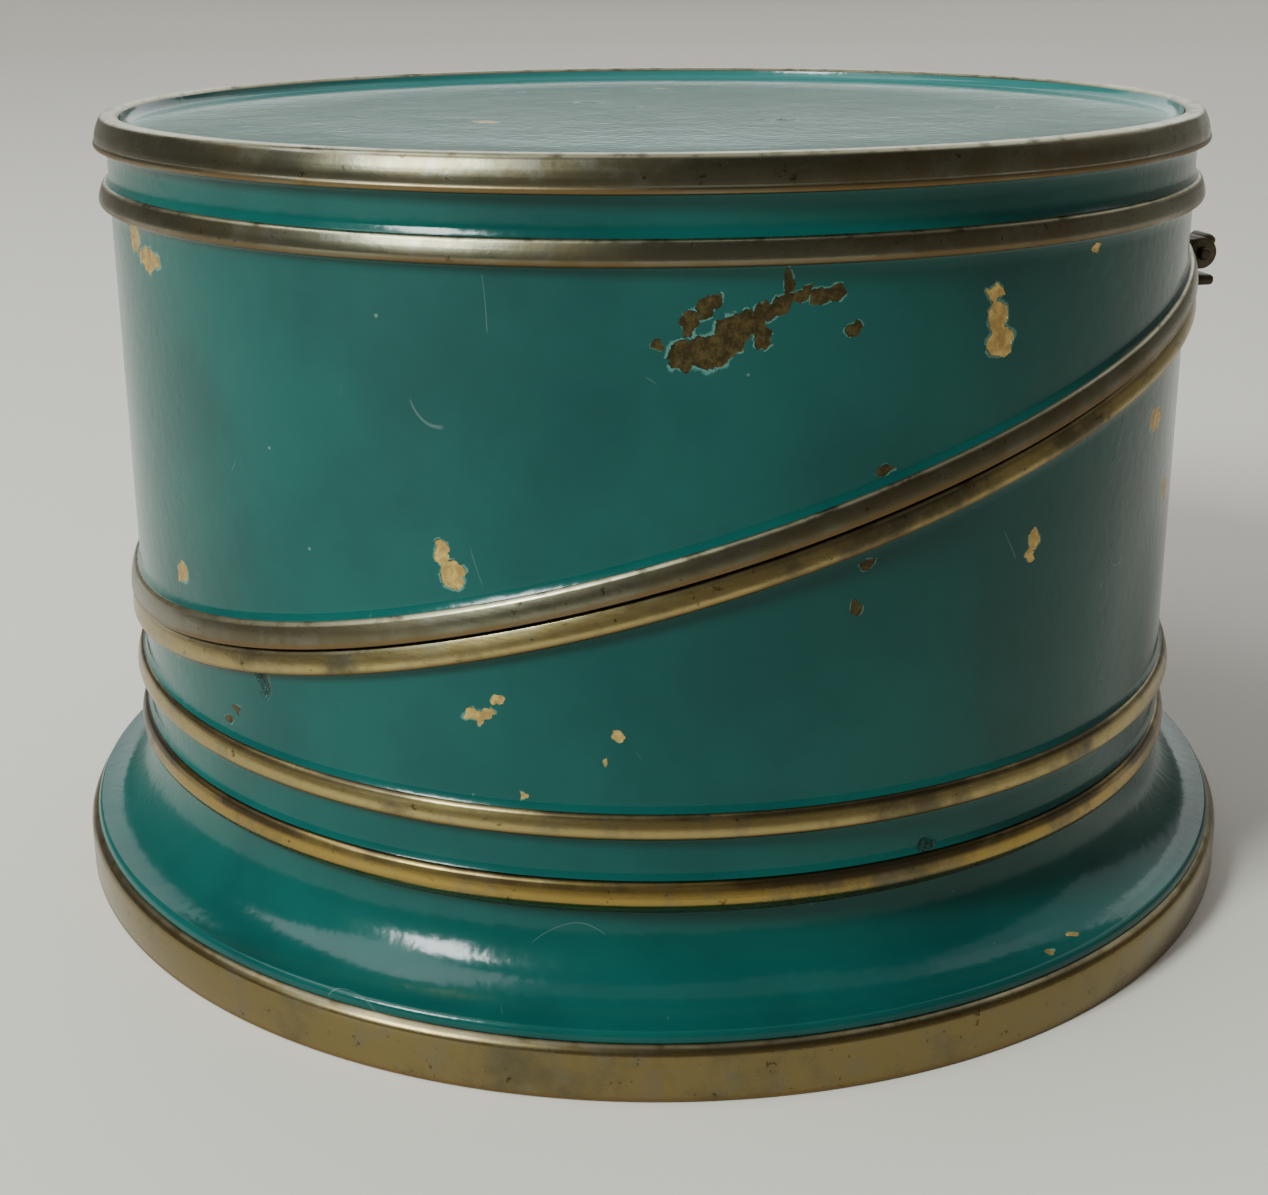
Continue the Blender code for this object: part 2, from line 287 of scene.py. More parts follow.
def edge_wire(bottom, top, under, over):
    bm = wire_section(bottom, top, under, over)
    half_gate = math.asin((LEAF_HALF_W + GAP) / (WALL_R + WIRE_OUT))
    bmesh.ops.contextual_create(bm, geom=bm.edges[:])
    start = Matrix.Rotation(math.pi / 2 + half_gate, 3, "Z")
    bmesh.ops.rotate(bm, cent=(0, 0, 0), matrix=start, verts=bm.verts[:])
    bmesh.ops.spin(
        bm, geom=bm.verts[:] + bm.edges[:] + bm.faces[:], cent=(0, 0, 0), axis=(0, 0, 1), dvec=(0, 0, 0),
        angle=2 * (math.pi - half_gate), steps=STEPS,
    )
    bmesh.ops.recalc_face_normals(bm, faces=bm.faces[:])
    return slant(bm)


WIRE_H = high("waist_bead") - low("waist_bead")
body_edge, lid_edge = CUT_Z - GAP / 2, CUT_Z + GAP / 2
finish("neck_ring_trim", neck_ring(), "body", ["neck_ring"])
waist = spin_full(wire_section(low("waist_bead"), high("waist_bead")))
finish("waist_wire", waist, "body", ["waist_bead"])
shoulder = spin_full(wire_section(low("shoulder_bead"), high("shoulder_bead")))
finish("shoulder_wire", shoulder, "lid", ["shoulder_bead"])
body_wire = edge_wire(body_edge - WIRE_H, body_edge, 0.50 * MM, 0.14 * MM)
lid_wire = edge_wire(lid_edge, lid_edge + WIRE_H, 0.14 * MM, 0.30 * MM)
finish("body_edge_wire", body_wire, "body", ["body_edge_bead"])
finish("lid_edge_wire", lid_wire, "lid", ["lid_edge_bead"])

# %% [markdown]
# The drum's wall is sheet with enamel on it. Enamel is thick when it melts and climbs a little where it
# meets a wire, so the outline swells there. One end of each wall is level and the other follows the cut.
# The wall is spun level, and then each row of it is sheared by its own share: none at the level end, all
# of it along the cut. The small swelling along the slanting wire therefore follows the wire.

# %% Turn the drum walls
CREEP = 0.28 * MM
CREEP_H = 0.6 * MM


def lean(bm, level_z, cut_z):
    """Shears rows by their share of the way from a level line to the cut."""
    for vert in bm.verts:
        share = (vert.co.z - level_z) / (cut_z - level_z)
        vert.co.z += CUT_RISE * vert.co.y * min(max(share, 0), 1)
    return bm


def creep(z, away):
    """Corners where enamel that meets a wire at height z swells, with away the side that the wall lies on."""
    near = [(WALL_R + CREEP, z, 0), (WALL_R + 0.5 * CREEP, z + away * 0.35 * CREEP_H, 0.25 * MM)]
    far = [(WALL_R, z + away * CREEP_H, 0.5 * MM)]
    return near + far if away > 0 else far[::-1] + near[::-1]


def body_wall():
    bottom = low("body_drum")
    wire_low, wire_high = low("waist_bead"), high("waist_bead")
    cut_low = body_edge - WIRE_H
    corners = creep(bottom, 1)
    corners += creep(wire_low, -1) + creep(wire_high, 1)
    corners += creep(cut_low, -1)
    corners += [(WALL_R, body_edge, 0.1 * MM), (INNER_R, body_edge, 0.1 * MM), (INNER_R, bottom, 0)]
    return lean(spin_full(outline(corners)), wire_high + 1.3 * MM, cut_low - 1.3 * MM)


def lid_wall():
    top = low("lid_rim") - 0.1 * MM
    wire_low, wire_high = low("shoulder_bead"), high("shoulder_bead")
    cut_high = lid_edge + WIRE_H
    corners = [(INNER_R, top, 0), (INNER_R, lid_edge, 0.1 * MM), (WALL_R, lid_edge, 0.1 * MM)]
    corners += creep(cut_high, 1)
    corners += creep(wire_low, -1) + creep(wire_high, 1)
    corners += creep(top, -1)
    return lean(spin_full(outline(corners)), wire_low - 1.3 * MM, cut_high + 1.3 * MM)


finish("body_wall", body_wall(), "body", ["body_drum"], sharp=60)
finish("lid_wall", lid_wall(), "lid", ["lid_drum"], sharp=60)

# %% [markdown]
# The lid's top is a sunk green disc inside a broad brass rim. The rim has a small lip at its foot, a face
# that leans in a little, and a crest that years of handling have rounded. The disc is enamelled too, so
# it climbs the rim's inside.

# %% Turn the top


def lid_rim():
    top, bottom = high("lid_rim"), low("lid_rim")
    crest, inside = outer("lid_rim"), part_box("lid_panel")[1].x + 0.05 * MM
    corners = [
        (inside, bottom, 0),
        (crest, bottom, 0.2 * MM),
        (crest, bottom + 0.45 * MM, 0.12 * MM),
        (crest - 0.12 * MM, bottom + 0.55 * MM, 0.1 * MM),
        (crest - 0.18 * MM, bottom + 1.3 * MM, 0.5 * MM),
        (crest - 0.75 * MM, top - 0.1 * MM, 0.4 * MM),
        (inside + 0.5 * MM, top, 0.25 * MM),
        (inside, top - 0.4 * MM, 0.1 * MM),
    ]
    return spin_full(outline(corners))


def lid_panel():
    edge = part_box("lid_panel")[1].x
    top = high("lid_panel")
    under, skirt = top - 0.7 * MM, low("lid_panel")
    corners = [
        (0, top + 0.15 * MM, 0),
        (0.6 * edge, top + 0.05 * MM, 3 * MM),
        (edge - 0.35 * MM, top, 0.6 * MM),
        (edge, top + 0.85 * MM, 0),
        (edge, skirt, 0.2 * MM),
        (edge - 0.7 * MM, skirt, 0.2 * MM),
        (edge - 0.7 * MM, under, 0.5 * MM),
        (0, under, 0),
    ]
    return spin_full(outline(corners, closed=False))


finish("lid_rim_trim", lid_rim(), "lid", ["lid_rim"])
finish("lid_panel_disc", lid_panel(), "lid", ["lid_panel"], sharp=60)

# %% [markdown]
# Inside the body stands a liner of dull tinned sheet. Its lip stands two millimetres above the cut and
# guides the lid home. The lip is rolled slightly, and the corner where its wall meets its floor is round,
# so tea doesn't lodge there.

# %% Turn the liner


def tea_liner():
    wall, thick = outer("tea_liner"), 0.5 * MM
    floor = low("tea_liner")
    lip = high("tea_liner") - CUT_RISE * wall
    corners = [
        (0, floor, 0),
        (wall, floor, 1.5 * MM),
        (wall, lip, 0.22 * MM),
        (wall - thick, lip, 0.22 * MM),
        (wall - thick, floor + thick, 1.1 * MM),
        (0, floor + thick, 0),
    ]
    return lean(spin_full(outline(corners, closed=False)), floor + 3 * MM, lip - 1 * MM)


finish("tea_liner_cup", tea_liner(), "body", ["tea_liner"])

# %% [markdown]
# The hinge sits across the cut at its highest point. Each half is a leaf bent to the drum, with knuckles
# that take turns along one pin. The end knuckles belong to the lid, and each has a heel. A lug on the
# body's leaf would stop that heel just past fully open. A leaf is a short turn of a flat section, and the
# rest is cylinders and blocks with their edges bevelled, gathered into one mesh for each half.

# %% Read the hinge
KNUCKLES = 5
PITCH = 4.0 * MM
BARREL_R = 1.5 * MM
LEAF_IN, LEAF_OUT = WALL_R + GAP, WALL_R + GAP + 0.7 * MM
LUG_TOP = HINGE.z - 2.1 * MM
HEEL_ANGLE = math.radians(52)


def knuckle_span(index):
    middle = (index - (KNUCKLES - 1) / 2) * PITCH
    return middle - 1.85 * MM, middle + 1.85 * MM


def soften(bm, faces_from, width, segments=3):
    """Bevels the sharp edges of the faces added since faces_from."""
    added = [face for face in bm.faces if face not in faces_from]
    edges = {edge for face in added for edge in face.edges if edge.calc_face_angle(0) > 0.6}
    bmesh.ops.bevel(
        bm, geom=list(edges), offset=width, offset_type="OFFSET", affect="EDGES",
        segments=segments, profile=0.5, material=-1,
    )


def add_rod(bm, radius, start, end, width):
    before = set(bm.faces)
    start, end = Vector(start), Vector(end)
    along = (end - start).to_track_quat("Z", "Y").to_matrix().to_4x4()
    bmesh.ops.create_cone(
        bm, cap_ends=True, segments=48, radius1=radius, radius2=radius, depth=(end - start).length,
        matrix=Matrix.Translation((start + end) / 2) @ along,
    )
    soften(bm, before, width)


def add_block(bm, low_corner, high_corner, width, about=None, angle=0):
    before = set(bm.faces)
    low_corner, high_corner = Vector(low_corner), Vector(high_corner)
    size = Matrix.Diagonal(high_corner - low_corner).to_4x4()
    made = bmesh.ops.create_cube(bm, size=1, matrix=Matrix.Translation((low_corner + high_corner) / 2) @ size)
    if about:
        bmesh.ops.rotate(bm, cent=about, matrix=Matrix.Rotation(angle, 3, "X"), verts=made["verts"])
    soften(bm, before, width)


def add_leaf(bm, bottom, top):
    """A bent plate with rounded outer corners."""
    before = set(bm.faces)
    half = math.asin(LEAF_HALF_W / LEAF_OUT)
    corners = [(LEAF_IN, bottom), (LEAF_OUT, bottom), (LEAF_OUT, top), (LEAF_IN, top)]
    verts = [bm.verts.new((r, 0, z)) for r, z in corners]
    section = bm.faces.new(verts)
    start = Matrix.Rotation(math.pi / 2 - half, 3, "Z")
    bmesh.ops.rotate(bm, cent=(0, 0, 0), matrix=start, verts=verts)
    bmesh.ops.spin(
        bm, geom=verts + list(section.edges) + [section], cent=(0, 0, 0), axis=(0, 0, 1), dvec=(0, 0, 0),
        angle=2 * half, steps=24,
    )
    added = [face for face in bm.faces if face not in before]
    bmesh.ops.recalc_face_normals(bm, faces=added)
    soften(bm, before, 0.15 * MM, segments=2)


print("hinge pin at", tuple(round(v / MM, 1) for v in HINGE), "mm")

# %% [markdown]
# Both leaves come from one function, with the side as its argument: the lid's leaf stands above the pin
# and the body's hangs below it. A web under each knuckle ties it to its leaf.

# %% Build the leaves


def hinge_half(side, indices, bottom, top):
    bm = bmesh.new()
    add_leaf(bm, bottom, top)
    for index in indices:
        start, end = knuckle_span(index)
        add_rod(bm, BARREL_R, (start, HINGE.y, HINGE.z), (end, HINGE.y, HINGE.z), 0.2 * MM)
        nearest = 0 if start < 0 < end else min(abs(start), abs(end))
        root = math.sqrt(LEAF_IN**2 - nearest**2) + 0.05 * MM
        web = sorted((HINGE.z + side * 0.15 * MM, HINGE.z + side * 1.35 * MM))
        add_block(bm, (start + 0.1 * MM, root, web[0]), (end - 0.1 * MM, HINGE.y, web[1]), 0.12 * MM)
    return bm


body_leaf_top = HINGE.z - 0.4 * MM
lid_leaf_bottom = HINGE.z + 0.4 * MM
lid_leaf = hinge_half(1, range(0, KNUCKLES, 2), lid_leaf_bottom, high("lid_hinge_leaf"))
body_leaf = hinge_half(-1, range(1, KNUCKLES, 2), low("body_hinge_leaf"), body_leaf_top)
for index in (0, KNUCKLES - 1):
    start, end = knuckle_span(index)
    heel_low = (start + 0.1 * MM, HINGE.y + 0.3 * MM, HINGE.z - 0.6 * MM)
    heel_high = (end - 0.1 * MM, HINGE.y + 2.0 * MM, HINGE.z + 0.6 * MM)
    add_block(lid_leaf, heel_low, heel_high, 0.5 * MM, about=HINGE, angle=HEEL_ANGLE)
    lug_root = math.sqrt(LEAF_IN**2 - min(abs(start), abs(end)) ** 2) + 0.05 * MM
    add_block(body_leaf, (start, lug_root, LUG_TOP - 1 * MM), (end, HINGE.y + 1.5 * MM, LUG_TOP), 0.4 * MM)
finish("lid_hinge_half", lid_leaf, "lid", ["lid_hinge_leaf"])
finish("body_hinge_half", body_leaf, "body", ["body_hinge_leaf"])

# %% [markdown]
# Rivets hold the leaves, and the pin's ends are domed. Each is a short outline spun about Z and then
# turned to its place. A rivet points straight out from the drum's axis, so its own solid's centre gives
# its direction.

# %% Set the rivets and the pin


def domed(radius, bottom, top, dome):
    half_top = [(0, top, 0), (radius, top, dome), (radius, bottom, 0.05 * MM), (0, bottom, 0)]
    return spin_full(outline(half_top, closed=False), steps=32)


def rivet(name, body):
    corner_low, corner_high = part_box(name)
    middle = (corner_low + corner_high) / 2
    outward = Vector((middle.x, middle.y, 0)).normalized()
    seat = LEAF_OUT + 0.25 * MM
    bm = domed(1.1 * MM, 0, 0.62 * MM, 0.55 * MM)
    face = outward.to_track_quat("Z", "Y").to_matrix().to_4x4()
    place = Matrix.Translation(outward * seat + Vector((0, 0, middle.z)))
    bmesh.ops.transform(bm, matrix=place @ face, verts=bm.verts[:])
    finish(name + "_head", bm, body, [name])


for name in ("body_rivet_1", "body_rivet_2"):
    rivet(name, "body")
for name in ("lid_rivet_1", "lid_rivet_2"):
    rivet(name, "lid")

pin_low, pin_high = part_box("hinge_pin")
pin = domed(0.6 * MM, pin_low.x + 0.1 * MM, pin_high.x, 0.35 * MM)
bmesh.ops.rotate(pin, cent=(0, 0, 0), matrix=Matrix.Rotation(math.pi / 2, 3, "Y"), verts=pin.verts[:])
bmesh.ops.translate(pin, vec=(0, HINGE.y, HINGE.z), verts=pin.verts[:])
finish("hinge_pin_rod", pin, "body", ["hinge_pin"])

# %% [markdown]
# Materials come next. Patterns are sums and products of a few noises, and written with nodes alone they
# are hard to read. A small class wraps a node's output, so that an expression such as `1 - mask` adds its
# Math node by itself. One method, `add`, makes every other node: its settings first, then its socket
# values or links.

# %% A class for shader maths


class Flow:
    """An output socket that can be used in a Python expression."""

    def __init__(self, tree, socket=None):
        self.tree = tree
        self.socket = socket

    def add(self, kind, settings=None, values=None, out=0):
        node = self.tree.nodes.new(kind)
        for name, value in (settings or {}).items():
            setattr(node, name, value)
        for name, value in (values or {}).items():
            if isinstance(value, Flow):
                self.tree.links.new(value.socket, node.inputs[name])
            else:
                node.inputs[name].default_value = value
        return Flow(self.tree, node.outputs[out])

    def math(self, operation, *others):
        values = {place: value for place, value in enumerate((self, *others))}
        return self.add("ShaderNodeMath", {"operation": operation}, values)

    def __add__(self, other):
        return self.math("ADD", other)

    def __mul__(self, other):
        return self.math("MULTIPLY", other)

    def __sub__(self, other):
        return self.math("SUBTRACT", other)

    def __rsub__(self, other):
        return self.add("ShaderNodeMath", {"operation": "SUBTRACT"}, {0: other, 1: self})

    __radd__ = __add__
    __rmul__ = __mul__

    def rise(self, start, end, low=0.0, high=1.0):
        """A smooth step from low to high as the value goes from start to end."""
        return self.add(
            "ShaderNodeMapRange", {"interpolation_type": "SMOOTHSTEP"},
            {"Value": self, "From Min": start, "From Max": end, "To Min": low, "To Max": high},
        )

    def either(self, other):
        return self.math("MAXIMUM", other)

    def tint(self, below, above):
        """A colour between below and above, chosen by this value."""
        return self.add(
            "ShaderNodeMix", {"data_type": "RGBA", "clamp_factor": True}, {0: self, 6: below, 7: above}, out=2
        )

    def noise(self, scale, detail=3.0, roughness=0.5, out=0):
        return self.add(
            "ShaderNodeTexNoise", None,
            {"Vector": self, "Scale": scale, "Detail": detail, "Roughness": roughness}, out=out,
        )

    def nudge(self, amount, place):
        """The place moved by this vector times the amount."""
        values = {0: self, 1: (amount, amount, amount), 2: place}
        return self.add("ShaderNodeVectorMath", {"operation": "MULTIPLY_ADD"}, values)

    def stretch(self, x, y, z):
        return self.add("ShaderNodeVectorMath", {"operation": "MULTIPLY"}, {0: self, 1: (x, y, z)})


def start_material(name):
    """A new material's object coordinates, and its shader."""
    material = bpy.data.materials.new(name)
    material.use_nodes = True
    tree = material.node_tree
    place = Flow(tree).add("ShaderNodeTexCoord", out=3)
    return material, place, tree.nodes["Principled BSDF"]


def feed(shader, values):
    """Links or sets the shader's sockets."""
    for name, value in values.items():
        if isinstance(value, Flow):
            value.tree.links.new(value.socket, shader.inputs[name])
        else:
            shader.inputs[name].default_value = value


def bump(flow, height, distance):
    return flow.add("ShaderNodeBump", None, {"Height": height, "Distance": distance, "Strength": 1.0})


print("shader maths ready:", ", ".join(name for name in vars(Flow) if not name.startswith("_")))

# %% [markdown]
# Old brass isn't one colour. Air turns it brown and grey in clouds, and dirt stays where cloth can't reach.
# So the brass is a fresh colour under a tarnish mask made from cloudy noise. Each ring turns darker and
# browner towards its lower edge. Its upper edge is painted pale on some rings, partly as wear from handling
# and partly as a painted highlight, and on others it holds grime against the enamel. Fine streaks run round
# each ring, because rings are polished on a lathe: a noise that changes fast with height, and slowly
# otherwise, draws them.

# %% Mix the brass


def split(place):
    """The point's x, y and z."""
    return [place.add("ShaderNodeSeparateXYZ", None, {0: place}, out=index) for index in range(3)]


def radius_of(place):
    x, y, _ = split(place)
    return (x * x + y * y).math("SQRT")


FRESH = (0.33, 0.26, 0.11, 1)
DRAB = (0.16, 0.152, 0.108, 1)
NECK_BRASS = (0.31, 0.215, 0.062, 1)
BAND_BRASS = (0.19, 0.145, 0.062, 1)
HINGE_METAL = (0.12, 0.095, 0.06, 1)
PALE_WEAR_AND_HIGHLIGHT = (0.58, 0.55, 0.36, 1)
TARNISH = (0.11, 0.095, 0.057, 1)
HINGE_TARNISH = (0.05, 0.04, 0.03, 1)
BROWN = (0.050, 0.030, 0.012, 1)
GREY = (0.14, 0.133, 0.112, 1)
BELOW_BROWN = (0.16, 0.095, 0.035, 1)
GRIME = (0.040, 0.030, 0.018, 1)
BRASS_DEPTH = 0.03 * MM


def brass(name, fresh=FRESH, tarnish=TARNISH, span=None, rise=0.0, amount=0.5, shine=0.17, grime=0.3):
    """Brass for a ring that spans the heights (bottom, top) and slants by rise.

    The amount of tarnish, the shine's base roughness and the grime along the upper edge are its own.
    """
    material, place, shader = start_material(name)
    _, y, z = split(place)
    clouds = place.noise(75, 6, 0.62)
    blots = place.noise(420, 4, 0.6)
    streaks = place.stretch(25, 25, 2600).noise(1.0, 3, 0.6)
    worn = clouds.rise(0.62 - 0.3 * amount, 0.74 - 0.2 * amount)
    metal = worn.tint(fresh, tarnish)
    metal = (blots.rise(0.52, 0.66) * (0.7 * amount)).tint(metal, GREY)
    metal = (place.noise(900, 3, 0.7).rise(0.63, 0.71) * 0.75).tint(metal, BROWN)
    rough = worn * 0.10 + streaks * 0.08 + blots * 0.08 + shine
    if span:
        bottom, top = span
        level = z - y * rise
        # Painted highlight, partly wear from handling: the ring is painted pale along its upper edge.
        rubbed_and_highlit = level.rise(top - 0.34 * MM, top - 0.16 * MM) * blots.rise(0.30, 0.52)
        # The ring is painted darker and browner towards its lower edge.
        darker_below = level.rise(bottom + 0.60 * MM, bottom + 0.25 * MM) * clouds.rise(0.25, 0.5, 0.4, 1.0)
        metal = (darker_below * 0.7).tint(metal, BELOW_BROWN)
        metal = (rubbed_and_highlit * (0.8 - 0.8 * grime)).tint(metal, PALE_WEAR_AND_HIGHLIGHT)
        grimy = level.rise(top - 0.65 * MM, top - 0.25 * MM) * clouds.rise(0.32, 0.55, 0.3, 1.0) * grime
        metal = grimy.tint(metal, GRIME)
        rough = rough + darker_below * 0.15 + grimy * 0.12
    height = streaks * 0.25 + blots * 0.5 + place.noise(2200, 2) * 0.2
    feed(shader, {"Base Color": metal, "Metallic": 1.0, "Roughness": rough})
    feed(shader, {"Normal": bump(place, height, BRASS_DEPTH)})
    return material


def span_of(node):
    return low(node), high(node)


body_edge_span = (body_edge - WIRE_H, body_edge)
lid_edge_span = (lid_edge, lid_edge + WIRE_H)
brass_waist = brass("brass_waist", span=span_of("waist_bead"), amount=0.4, grime=0.9)
brass_shoulder = brass("brass_shoulder", DRAB, span=span_of("shoulder_bead"), amount=0.75)
brass_body_edge = brass("brass_body_edge", span=body_edge_span, rise=CUT_RISE, amount=0.35, grime=0.5)
brass_lid_edge = brass("brass_lid_edge", DRAB, span=lid_edge_span, rise=CUT_RISE, amount=0.6)
brass_rim = brass("brass_rim", DRAB, span=span_of("lid_rim"), amount=0.8, shine=0.15, grime=0.1)
brass_neck = brass("brass_neck", NECK_BRASS, span=span_of("neck_ring"), amount=0.4, grime=0.9)
brass_band = brass("brass_band", BAND_BRASS, span=span_of("foot_band"), amount=0.45, grime=0.6)
brass_dark = brass("brass_dark", HINGE_METAL, HINGE_TARNISH, amount=0.8, shine=0.38)
print("eight brasses")

# %% [markdown]
# The enamel is a glossy blue-green with a faint orange-peel. Knocks have flaked it off in places, down to
# gold-coloured brass, or to brass that has had time to go brown. A flake is an ellipse on the wall, given
# by its angle round the drum, its height, its size and its tilt. A Mapping node of type TEXTURE carries
# the point into the ellipse's own frame, where its length is under one inside. The point is first moved
# by noise and drawn towards the cells of a Voronoi pattern, so that ellipses which run together have one
# chipped edge.

# %% Flake the enamel


def flake(place, angle, height, width, tall, tilt=0, radius=WALL_R, depth=8):
    """Distance from a flake's centre, which reaches 1 at its edge. Sizes are in mm, angles in degrees."""
    turned = math.radians(angle)
    centre = (radius * math.cos(turned), radius * math.sin(turned), height * MM)
    own = place.add(
        "ShaderNodeMapping", {"vector_type": "TEXTURE"},
        {"Vector": place, "Location": centre, "Rotation": (math.radians(tilt), 0, turned),
         "Scale": (depth * MM / 2, width * MM / 2, tall * MM / 2)},
    )
    return own.add("ShaderNodeVectorMath", {"operation": "LENGTH"}, {0: own}, out=1)


def nearest(place, flakes):
    """The smallest distance to any of the flakes."""
    found = None
    for each in flakes:
        distance = flake(place, *each)
        found = distance if found is None else found.math("MINIMUM", distance)
    return found


DEEP = (0.0006, 0.045, 0.041, 1)
LIGHT = (0.0014, 0.064, 0.056, 1)
PAINTED_TOP_LIGHT = (0.045, 0.19, 0.18, 1)
EDGE = (0.12, 0.28, 0.24, 1)
SOOT = (0.012, 0.022, 0.016, 1)
DUST = (0.30, 0.36, 0.33, 1)
GOLD = (0.56, 0.39, 0.13, 1)
GOLD_DIM = (0.33, 0.22, 0.075, 1)
RUST = (0.028, 0.020, 0.006, 1)
RUST_LIGHT = (0.075, 0.055, 0.018, 1)
TEAR = 0.8 * MM
CHIP = 0.8 * MM
CHIPPED = 0.45
ENAMEL_DEPTH = 0.03 * MM


def torn(place):
    """The point moved by noise, then drawn towards the nearest of many scattered cells."""
    noise = place.noise(1000, 3, 0.6, out=1)
    centred = noise.add("ShaderNodeVectorMath", {"operation": "SUBTRACT"}, {0: noise, 1: (0.5, 0.5, 0.5)})
    moved = centred.nudge(TEAR, place)
    cell = moved.add("ShaderNodeTexVoronoi", None, {"Vector": moved, "Scale": 1 / CHIP}, out=2)
    shift = cell.add("ShaderNodeVectorMath", {"operation": "SUBTRACT"}, {0: cell, 1: moved})
    return shift.nudge(CHIPPED, moved)


def flake_off(place, near, paint, dull, bright):
    """Bares the metal inside the flakes and pales the enamel's broken edge around them."""
    gone = near.rise(1.02, 0.97)
    edge = near.rise(1.14, 1.05) - gone
    bare = place.noise(1100, 4, 0.75).rise(0.40, 0.66).tint(dull, bright)
    return gone, gone.tint((edge * 0.5).tint(paint, EDGE), bare)


def fine_marks(place, dusty):
    """A few hair-thin scratches, and specks of dust."""
    hair = (place.stretch(1, 1, 0.45).noise(70, 1, 0.3) - 0.5).math("ABSOLUTE").rise(0.0012, 0.0004)
    hair = hair * place.noise(170, 1).rise(0.62, 0.67)
    specks = place.add("ShaderNodeTexVoronoi", None, {"Vector": place, "Scale": 420.0}).rise(0.075, 0.045)
    specks = specks * place.noise(300, 1).rise(0.6, 0.66)
    return (hair * 0.16).either(specks * dusty)


def enamel(
    name, gold=(), brown=(), stains=(), dusty=0.3, rough=(0.14, 0.20), painted_top_light=0.0,
    bare_inside=None, bare_below=None,
):
    """Enamel with its own flakes and stains, which leaves bare what is inside a radius or below a height."""
    material, place, shader = start_material(name)
    paint = place.noise(45, 4, 0.55).rise(0.35, 0.65).tint(DEEP, LIGHT)
    # Painted light: a paler teal laid over the paint stands in for light from above and the pale wall it
    # mirrors.
    if painted_top_light:
        paint = (place.noise(60, 4).rise(0.2, 0.6, 0.8, 1.0) * painted_top_light).tint(paint, PAINTED_TOP_LIGHT)
    height = place.noise(1000, 2, 0.4) * 0.9 + place.noise(160, 2) * 1.5
    gloss = place.noise(110, 5, 0.6).rise(0.3, 0.75, *rough)
    shifted = torn(place)
    metallic = 0.0
    lost = None
    for flakes, dull, bright, metal in ((gold, GOLD_DIM, GOLD, 0.8), (brown, RUST, RUST_LIGHT, 0.4)):
        if flakes:
            gone, paint = flake_off(place, nearest(shifted, flakes), paint, dull, bright)
            metallic = gone * metal + metallic
            lost = lost.either(gone) if lost else gone
    if lost:
        gloss = gloss + lost * (place.noise(1500, 3) * 0.25 + 0.15)
        height = height - lost * 7.0 + lost * place.noise(1600, 3) * 3.0
    if stains:
        stain = nearest(shifted, stains).rise(1.2, 0.5) * place.noise(900, 4, 0.8).rise(0.35, 0.6)
        paint = (stain * 0.8).tint(paint, SOOT)
        gloss = gloss + stain * 0.3
        height = height - stain * 9.0
    marks = fine_marks(place, dusty)
    paint = marks.tint(paint, DUST)
    gloss = gloss + marks * 0.3
    bare, grain = None, 0
    if bare_inside:
        bare, grain = radius_of(place).rise(bare_inside + 0.15 * MM, bare_inside + 0.1 * MM), 120
    if bare_below:
        bare, grain = split(place)[2].rise(bare_below + 0.05 * MM, bare_below - 0.05 * MM), 90
    if bare:
        paint = bare.tint(paint, place.noise(grain, 5).tint(TARNISH, FRESH))
        metallic = bare.either(metallic)
        gloss = gloss + bare * 0.25
    feed(shader, {"Base Color": paint, "Metallic": metallic, "Roughness": gloss})
    feed(shader, {"Normal": bump(place, height, ENAMEL_DEPTH), "Specular IOR Level": 0.23})
    return material


print("enamel ready to mix")

# %% [markdown]
# Each enamelled piece has its own flakes, as each had its own knocks. The large brown one near the top of
# the lid is several ellipses that run together, and so are most of the gold ones. The side that is turned
# away has a few too.

# %% Enamel the lid and the body
lid_brown = [
    (-9.3, 55.0, 2.6, 2.2, 0),
    (-7.3, 55.3, 3.2, 2.6, 0),
    (-5.5, 56.6, 2.6, 2.4, 25),
    (-4.0, 57.1, 2.0, 1.8, 0),
    (-2.9, 56.1, 1.3, 1.6, 0),
    (-9.0, 57.2, 1.2, 1.7, 15),
    (-7.9, 58.3, 1.6, 1.4, 0),
    (-6.9, 59.0, 1.2, 1.0, 0),
    (-2.6, 58.0, 1.9, 1.5, 0),
    (-1.5, 58.6, 1.5, 1.3, 0),
    (-1.0, 59.9, 0.9, 1.9, 0),
    (0.0, 58.9, 1.2, 0.8, 0),
    (0.7, 59.4, 1.0, 1.0, 0),
    (1.7, 58.9, 1.7, 1.0, 20),
    (3.1, 59.2, 1.5, 1.2, 30),
    (-11.5, 55.8, 0.9, 0.5, -10),
    (4.7, 56.4, 1.2, 1.1, 0),
    (8.0, 46.0, 1.7, 0.8, 10),
    (160.0, 52.6, 2.6, 1.5, 30),
    (161.8, 53.6, 1.2, 1.2, 0),
    (-140.0, 57.8, 1.8, 1.0, 0),
]
lid_gold = [
    (18.4, 58.2, 1.6, 1.5, 0),
    (18.9, 56.4, 1.9, 2.2, 0),
    (19.3, 54.5, 2.7, 2.2, 0),
    (-71.0, 60.0, 2.6, 2.4, 30),
    (-67.2, 58.6, 4.4, 1.8, 0),
    (-30.4, 39.8, 1.1, 2.4, 10),
    (-29.5, 38.3, 2.2, 2.1, 0),
    (-64.8, 33.0, 2.2, 1.9, 0),
    (31.3, 60.4, 1.2, 0.6, 30),
    (118.0, 58.0, 2.0, 1.2, 20),
    (-164.0, 46.0, 1.4, 2.0, 0),
    (-112.0, 39.0, 1.6, 1.2, 40),
]
